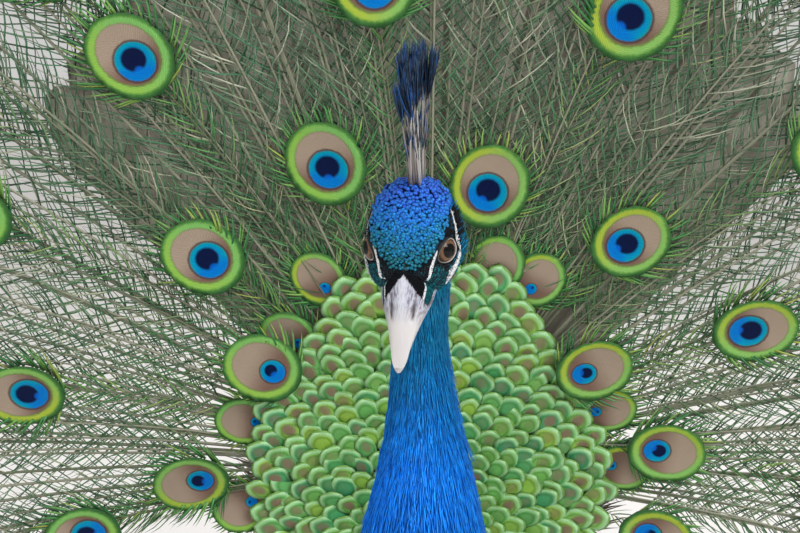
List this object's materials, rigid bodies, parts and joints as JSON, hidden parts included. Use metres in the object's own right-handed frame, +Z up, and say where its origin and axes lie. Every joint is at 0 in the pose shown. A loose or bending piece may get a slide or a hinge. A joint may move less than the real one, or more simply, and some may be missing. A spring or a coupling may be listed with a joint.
{
  "type": "peacock",
  "caption": "Life-size standing male Indian peafowl with its long eyespotted train raised and spread in a fan behind a blue neck and crested head, for display.",
  "frame": {"origin": "on the floor, under the middle of the whole outline", "axes": "the bird looks along -Y, +X is to its left, +Z is up"},
  "size_m": [2.1194, 0.5594, 1.46],
  "materials": {
    "crown": "beaded blue and green head feathers",
    "neck": "glossy blue hair-like feathers",
    "body": "close blue-green body feathers",
    "scales": "gold-green scale feathers with bronze centres",
    "train": "loose bronze-green barbs and eyespots",
    "tail": "matte grey-brown tail feathers",
    "wing": "buff feathers barred with black",
    "flight": "rusty chestnut flight feathers",
    "thigh": "short buff feathers",
    "crest": "bare shafts with dark blue tips",
    "bill": "pale horn",
    "eye": "wet brown iris and black pupil",
    "leg": "grey-brown scaly skin",
    "claw": "dark horn"
  },
  "bodies": {
    "root": {"bill_lower": "bill", "bill_upper": "bill", "breast": "body", "claw_left_hind": "claw", "claw_left_inner": "claw", "claw_left_middle": "claw", "claw_left_outer": "claw", "claw_right_hind": "claw", "claw_right_inner": "claw", "claw_right_middle": "claw", "claw_right_outer": "claw", "crest": "crest", "eye_left": "eye", "eye_right": "eye", "foot_left": "leg", "foot_right": "leg", "head": "crown", "neck_lower": "neck", "neck_middle": "neck", "neck_upper": "neck", "primaries_left": "flight", "primaries_right": "flight", "rump": "body", "shank_left": "leg", "shank_right": "leg", "tail_left": "tail", "tail_right": "tail", "thigh_left": "thigh", "thigh_right": "thigh", "train_left_high": "train", "train_left_low": "train", "train_left_side": "train", "train_middle": "train", "train_right_high": "train", "train_right_low": "train", "train_right_side": "train", "train_root": "scales", "train_shield": "scales", "wing_left": "wing", "wing_right": "wing"}
  },
  "joints": []
}
